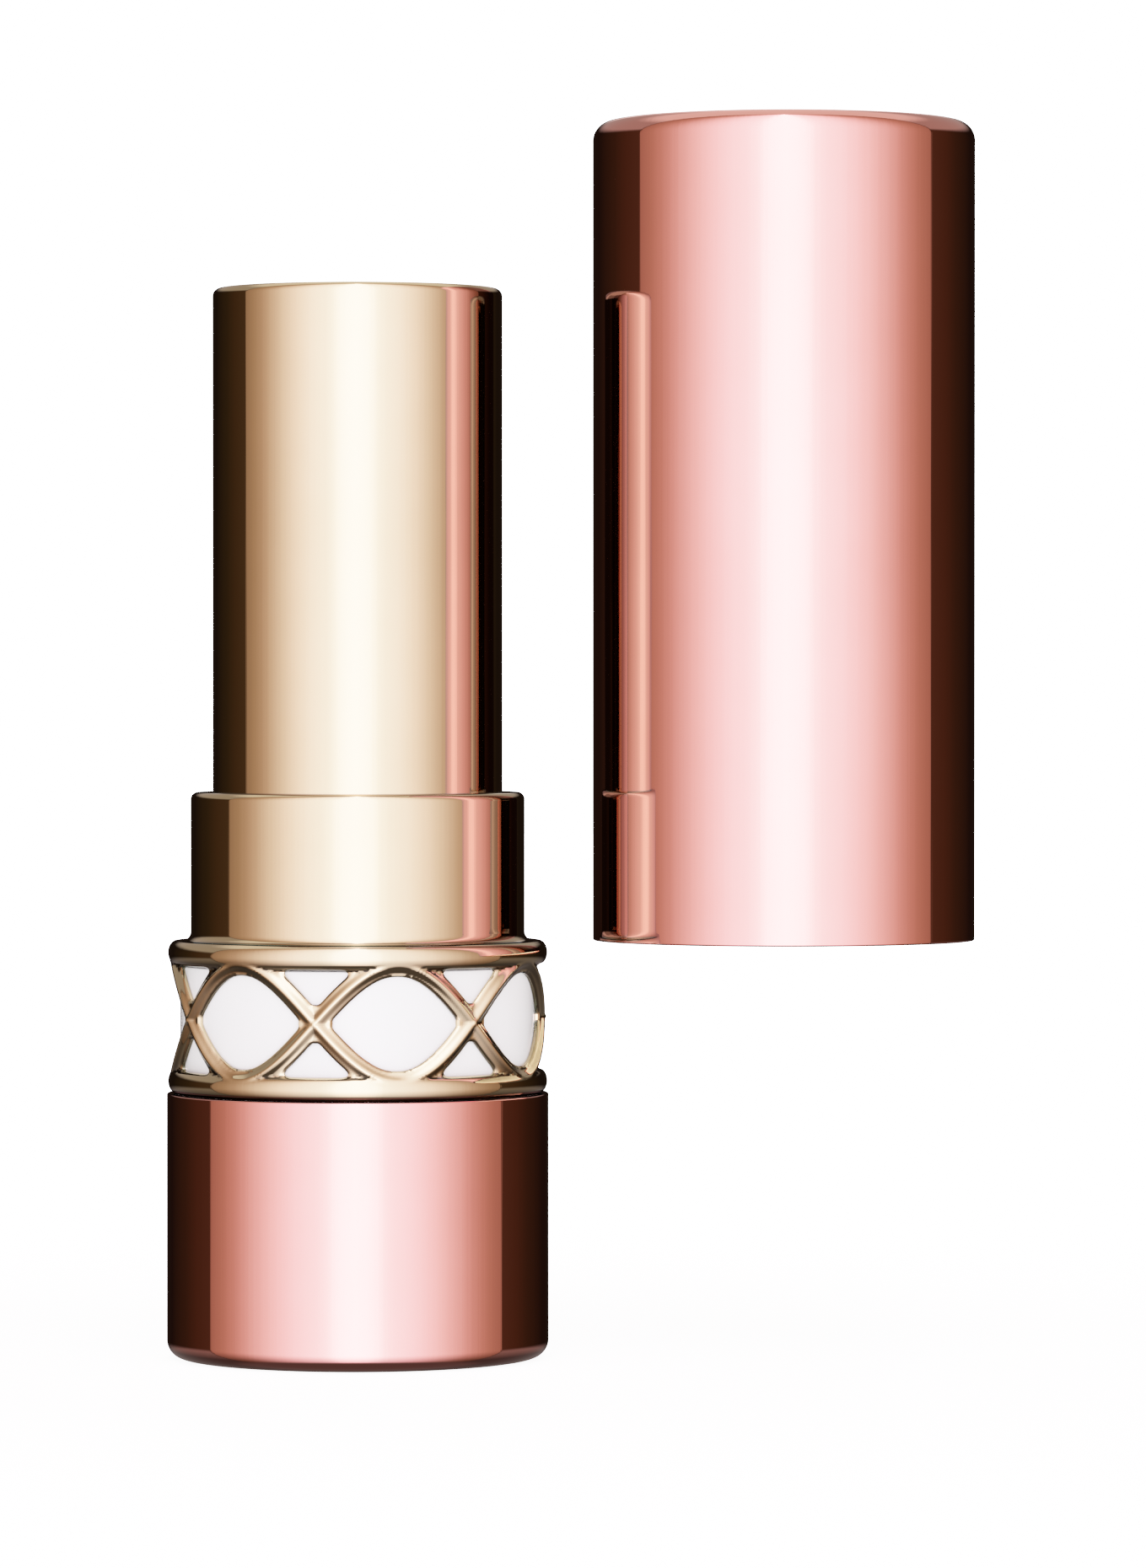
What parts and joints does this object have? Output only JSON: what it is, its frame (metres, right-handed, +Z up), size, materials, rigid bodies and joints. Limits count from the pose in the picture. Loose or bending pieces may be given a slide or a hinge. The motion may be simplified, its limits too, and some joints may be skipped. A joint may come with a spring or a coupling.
{
  "type": "lipstick case",
  "caption": "Twist-up lipstick case in polished rose gold and pale gold, cap off: openwork ring over a white band, turning tube, helical cam and rising bullet carrier.",
  "frame": {"origin": "centre of the base's foot, on the case axis, on the surface that it stands on", "axes": "+Z up along the case axis, +X towards the axis of the cap, which is held beside the tube"},
  "size_m": [0.0455, 0.0216, 0.0697],
  "materials": {
    "rose_gold": "mirror-polished anodised aluminium",
    "pale_gold": "mirror-polished anodised aluminium",
    "ring_gold": "plated casting with chiselled, polished bars",
    "white_band": "glossy white",
    "label": "satin film, blank",
    "steel": "zinc-plated slug",
    "core_plastic": "satin moulded polypropylene",
    "slide_plastic": "satin moulded acetal",
    "carrier_plastic": "champagne moulded plastic",
    "elastomer": "matt"
  },
  "bodies": {
    "base": {"base_shell": "rose_gold", "shade_label": "label", "base_weight": "steel", "base_insert": "core_plastic", "band_sleeve": "white_band", "openwork_ring": "ring_gold", "collar": "pale_gold", "collar_insert": "core_plastic", "guide_tube": "slide_plastic", "friction_ring": "elastomer"},
    "tube": {"tube_shell": "pale_gold", "cam_sleeve": "slide_plastic"},
    "carrier": {"carrier": "carrier_plastic"},
    "cap": {"cap_shell": "rose_gold", "cap_liner": "core_plastic"}
  },
  "joints": [
    {"name": "tube_twist", "type": "hinge", "parent": "base", "child": "tube", "pos_m": [0, 0, 0.0318], "axis": [0, 0, 1], "range_deg": [0, 450]},
    {"name": "carrier_rise", "type": "slide", "parent": "base", "child": "carrier", "axis": [0, 0, 1], "range_m": [0, 0.025]},
    {"name": "cap_lift", "type": "slide", "parent": "base", "child": "cap", "axis": [0, 0, 1], "range_m": [-0.0235, 0.038]}
  ],
  "couplings": [
    {"joint": "carrier_rise", "follows": "tube_twist", "m_per_rad": 0.0031831}
  ]
}
